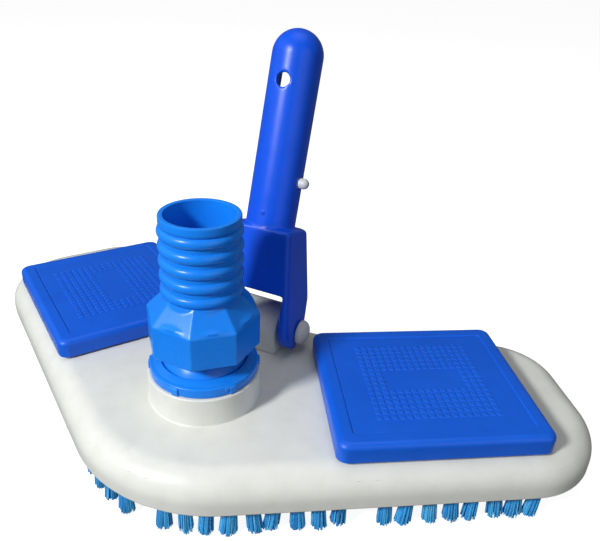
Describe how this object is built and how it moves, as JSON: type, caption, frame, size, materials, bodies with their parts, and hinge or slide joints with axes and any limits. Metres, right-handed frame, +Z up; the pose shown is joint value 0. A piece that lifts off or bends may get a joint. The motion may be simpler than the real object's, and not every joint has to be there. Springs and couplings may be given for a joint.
{
  "type": "pool vacuum and brush head",
  "caption": "Swept-wing pool suction and brush head with weighted covers, ball-swivel hose connector, forked pole handle and bristle rows.",
  "frame": {"origin": "centre of the footprint, on the plane that the bristle tips touch", "axes": "+X along the span towards the right wing, +Y from the nose to the trailing edge, +Z up"},
  "size_m": [0.395, 0.2009, 0.2144],
  "materials": {
    "white_abs": "satin gloss moulded ABS",
    "cover_blue": "satin gloss moulded ABS",
    "swivel_blue": "gloss moulded ABS",
    "handle_blue": "satin gloss moulded ABS",
    "bristle_blue": "nylon filament",
    "strip_blue": "moulded polypropylene",
    "white_nylon": "satin nylon",
    "black_rubber": "matt",
    "stainless": "satin stainless steel",
    "cast_weight": "as cast"
  },
  "bodies": {
    "head": {"base_housing": "white_abs", "ball_seal": "black_rubber", "lock_ring": "swivel_blue", "pivot_lug": "white_abs", "pivot_pin": "white_nylon", "pin_cap": "white_nylon", "weight_cover_right": "cover_blue", "weight_right": "cast_weight", "cover_screw_right_1": "stainless", "cover_screw_right_2": "stainless", "cover_screw_right_3": "stainless", "cover_screw_right_4": "stainless", "lug_screw_right": "stainless", "weight_cover_left": "cover_blue", "weight_left": "cast_weight", "cover_screw_left_1": "stainless", "cover_screw_left_2": "stainless", "cover_screw_left_3": "stainless", "cover_screw_left_4": "stainless", "lug_screw_left": "stainless", "brush_strip_front_inner_right": "strip_blue", "bristles_front_inner_right": "bristle_blue", "strip_screw_front_inner_right_1": "stainless", "strip_screw_front_inner_right_2": "stainless", "brush_strip_front_outer_right": "strip_blue", "bristles_front_outer_right": "bristle_blue", "strip_screw_front_outer_right_1": "stainless", "strip_screw_front_outer_right_2": "stainless", "brush_strip_rear_right": "strip_blue", "bristles_rear_right": "bristle_blue", "strip_screw_rear_right_1": "stainless", "strip_screw_rear_right_2": "stainless", "brush_strip_front_inner_left": "strip_blue", "bristles_front_inner_left": "bristle_blue", "strip_screw_front_inner_left_1": "stainless", "strip_screw_front_inner_left_2": "stainless", "brush_strip_front_outer_left": "strip_blue", "bristles_front_outer_left": "bristle_blue", "strip_screw_front_outer_left_1": "stainless", "strip_screw_front_outer_left_2": "stainless", "brush_strip_rear_left": "strip_blue", "bristles_rear_left": "bristle_blue", "strip_screw_rear_left_1": "stainless", "strip_screw_rear_left_2": "stainless"},
    "slip_seat": {"ball_seat": "white_nylon"},
    "ball": {"swivel_ball": "swivel_blue"},
    "connector": {"hose_connector": "swivel_blue"},
    "pole_handle": {"handle": "handle_blue", "spring_clip": "stainless"},
    "button": {"snap_button": "white_nylon"}
  },
  "joints": [
    {"name": "swivel_turn", "type": "hinge", "parent": "head", "child": "slip_seat", "pos_m": [0, -0.03432, 0.047], "axis": [0, 0, 1], "continuous": true},
    {"name": "ball_tilt", "type": "hinge", "parent": "slip_seat", "child": "ball", "pos_m": [0, -0.03432, 0.047], "axis": [-1, 0, 0], "range_deg": [-14, 14]},
    {"name": "connector_spin", "type": "hinge", "parent": "ball", "child": "connector", "pos_m": [0, -0.03432, 0.096], "axis": [0, 0, 1], "continuous": true},
    {"name": "handle_pivot", "type": "hinge", "parent": "head", "child": "pole_handle", "pos_m": [0, 0.02708, 0.0474], "axis": [-1, 0, 0], "range_deg": [-15, 50]},
    {"name": "button_press", "type": "slide", "parent": "pole_handle", "child": "button", "axis": [-1, 0, 0], "range_m": [0, 0.005], "stiffness_N_per_m": 900, "deforming": ["spring_clip"]}
  ]
}
